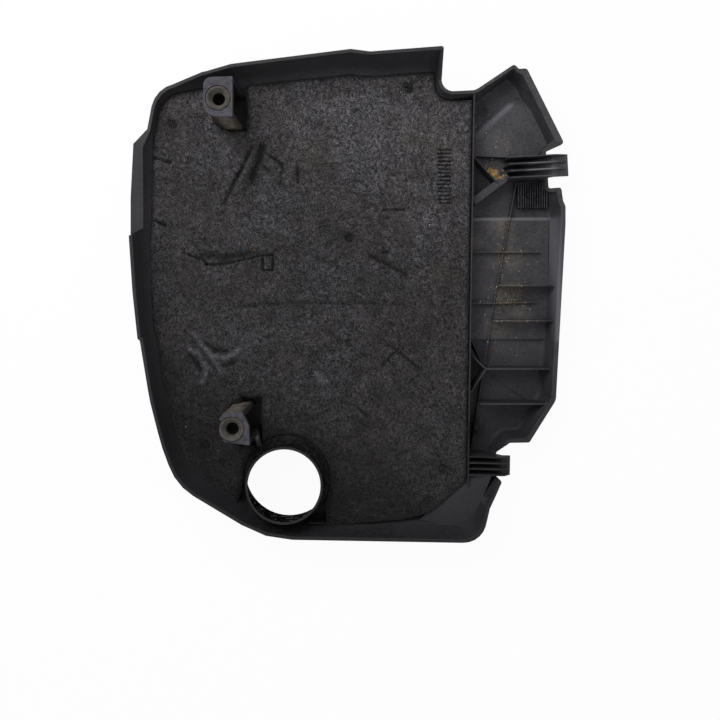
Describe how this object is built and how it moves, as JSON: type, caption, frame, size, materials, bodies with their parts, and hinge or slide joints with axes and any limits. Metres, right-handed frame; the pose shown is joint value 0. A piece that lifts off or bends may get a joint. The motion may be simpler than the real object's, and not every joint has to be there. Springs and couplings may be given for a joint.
{
  "type": "engine cover",
  "caption": "Moulded plastic engine top cover, underside up, with a ribbed side wing, an oil filler opening, an acoustic felt pad and rubber stud grommets.",
  "frame": {"origin": "on the flat outer face, at the datum between wing and left edge that the driving dimensions count from", "axes": "+Z from the outer face towards the underside, +Y towards the back edge with the notch, +X towards the ribbed wing"},
  "size_m": [0.4515, 0.4954, 0.072],
  "materials": {
    "shell_plastic": "black glass-filled moulded plastic, dusty",
    "felt": "needled grey-black fibre felt",
    "grommet_rubber": "grey-tan rubber with engine dust"
  },
  "bodies": {
    "root": {"cover_shell": "shell_plastic", "acoustic_felt": "felt", "grommet_upper": "grommet_rubber", "grommet_lower": "grommet_rubber"}
  },
  "joints": []
}
